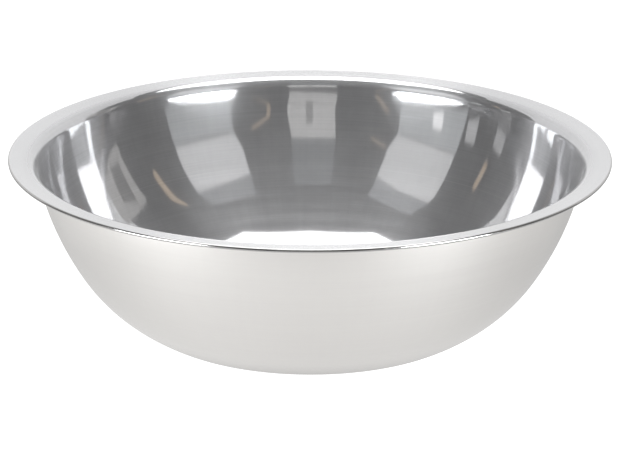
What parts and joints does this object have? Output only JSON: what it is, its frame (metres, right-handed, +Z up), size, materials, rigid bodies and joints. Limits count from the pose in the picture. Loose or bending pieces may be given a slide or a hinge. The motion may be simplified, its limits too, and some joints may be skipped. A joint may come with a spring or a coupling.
{
  "type": "mixing bowl",
  "caption": "Wide round stainless-steel mixing bowl with a flat base, curved walls and a broad sloping lip with a rolled edge.",
  "frame": {"origin": "centre of the flat base, on the surface that the bowl stands on", "axes": "+Z up along the bowl's axis, out of its mouth"},
  "size_m": [0.4759, 0.476, 0.1397],
  "materials": {
    "stainless_steel": "polished inside and on the lip, satin outside, with fine brush lines around the axis"
  },
  "bodies": {
    "root": {"bowl": "stainless_steel"}
  },
  "joints": []
}
